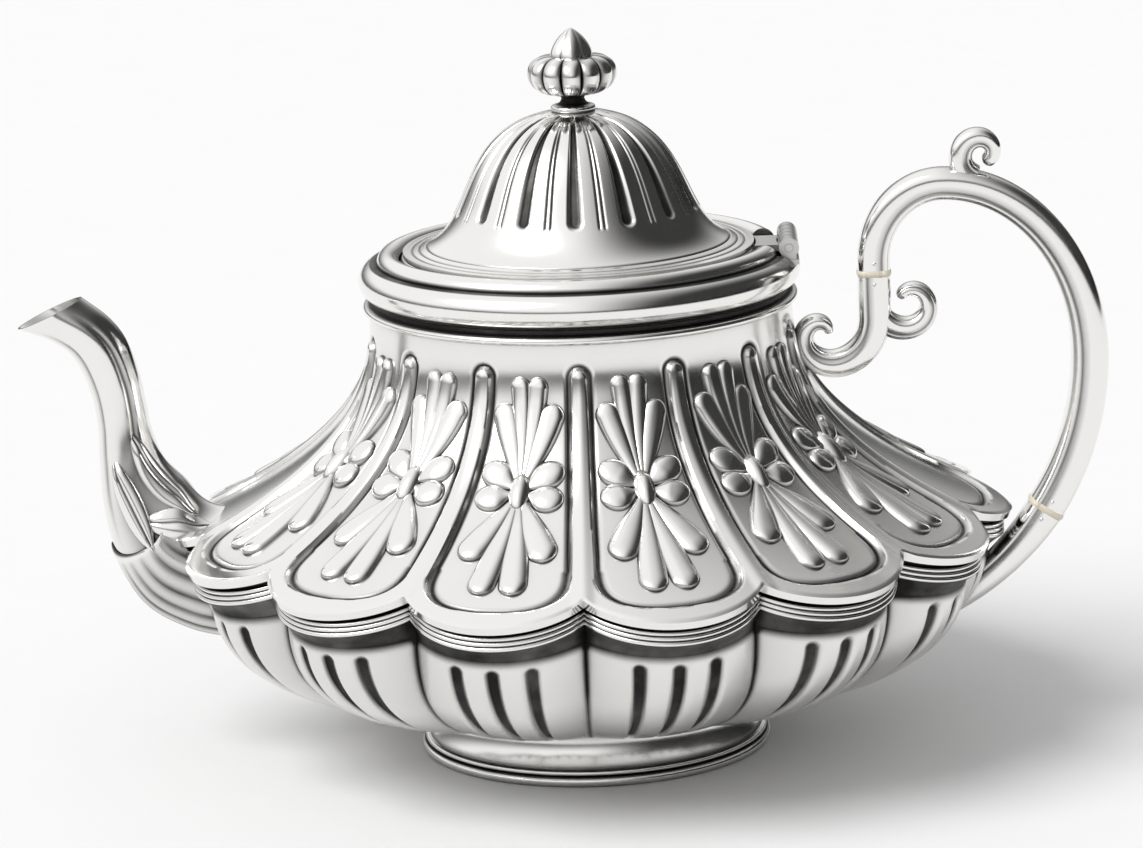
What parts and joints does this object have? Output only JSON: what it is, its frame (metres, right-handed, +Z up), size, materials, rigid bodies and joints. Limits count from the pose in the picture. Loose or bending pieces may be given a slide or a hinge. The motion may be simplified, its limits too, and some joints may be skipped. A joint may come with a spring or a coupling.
{
  "type": "silver teapot",
  "caption": "Squat lobed silver teapot with a scalloped shoulder, swan-neck spout, scroll handle with bone insulators and a hinged fluted lid with a petal finial, for brewing and pouring tea.",
  "frame": {"origin": "middle of the foot's lower face, on the plane that the pot stands on", "axes": "+Z up, +X toward the handle, spout along -X, +Y completes a right-handed frame, so the picture looks along +Y"},
  "size_m": [0.2403, 0.1844, 0.1609],
  "materials": {
    "silver": "polished",
    "bone": "satin"
  },
  "bodies": {
    "pot": {"foot_base_wire": "silver", "foot_ring": "silver", "bowl": "silver", "strainer": "silver", "shoulder_band": "silver", "upper_body": "silver", "upper_ribs": "silver", "upper_rosettes": "silver", "neck_collar": "silver", "mouth_rim": "silver", "spout_root": "silver", "spout_neck": "silver", "spout_leaves": "silver", "handle_bracket": "silver", "upper_insulator": "bone", "handle_grip": "silver", "grip_volute": "silver", "thumb_scroll": "silver", "lower_insulator": "bone", "handle_tail": "silver", "insulator_pins": "silver", "hinge_body_leaf": "silver", "hinge_pin": "silver"},
    "lid": {"lid_dome": "silver", "lid_rim_wire": "silver", "lid_bezel": "silver", "finial_collar": "silver", "finial_petals": "silver", "finial_bud": "silver", "finial_stud": "silver", "finial_washer": "silver", "finial_nut": "silver", "hinge_lid_leaf": "silver"}
  },
  "joints": [
    {"name": "lid_hinge", "type": "hinge", "parent": "pot", "child": "lid", "pos_m": [0.046, 0, 0.1123], "axis": [0, 1, 0], "range_deg": [0, 95]}
  ]
}
